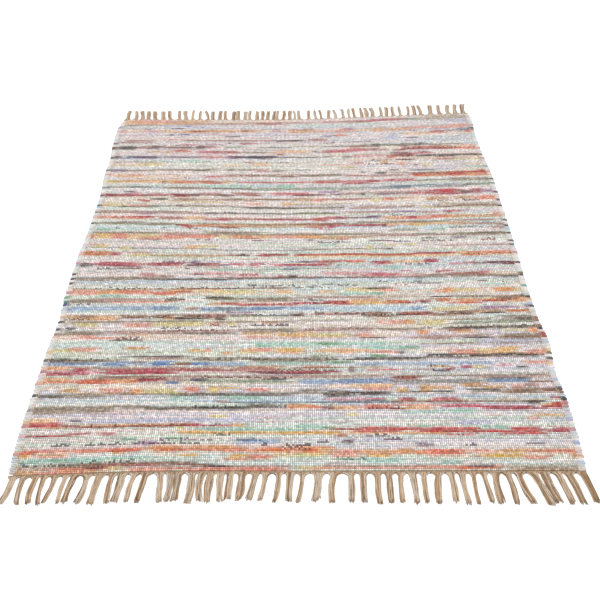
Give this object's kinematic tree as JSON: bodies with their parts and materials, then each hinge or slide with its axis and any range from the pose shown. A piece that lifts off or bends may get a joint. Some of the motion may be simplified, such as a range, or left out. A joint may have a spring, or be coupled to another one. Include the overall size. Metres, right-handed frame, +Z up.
{
  "type": "rag rug",
  "caption": "Large flat-woven rag rug with narrow cross stripes, looped rag selvedges and a loose warp fringe hanging from a plain woven heading at each end.",
  "frame": {"origin": "bottom centre of the bounding box, on the floor under the middle of the rug", "axes": "+X across the rug along its weft, to the right; +Y along the rug towards the far fringe; +Z up, out of the face"},
  "size_m": [1.6566, 2.5968, 0.007],
  "materials": {
    "rag_weave": "matt, ribbed weave of mixed cotton rags in narrow hit-and-miss stripes",
    "warp_yarn": "matt tan cotton yarn"
  },
  "bodies": {
    "root": {"rug_field": "rag_weave", "fringe_front": "warp_yarn", "fringe_back": "warp_yarn"}
  },
  "joints": []
}
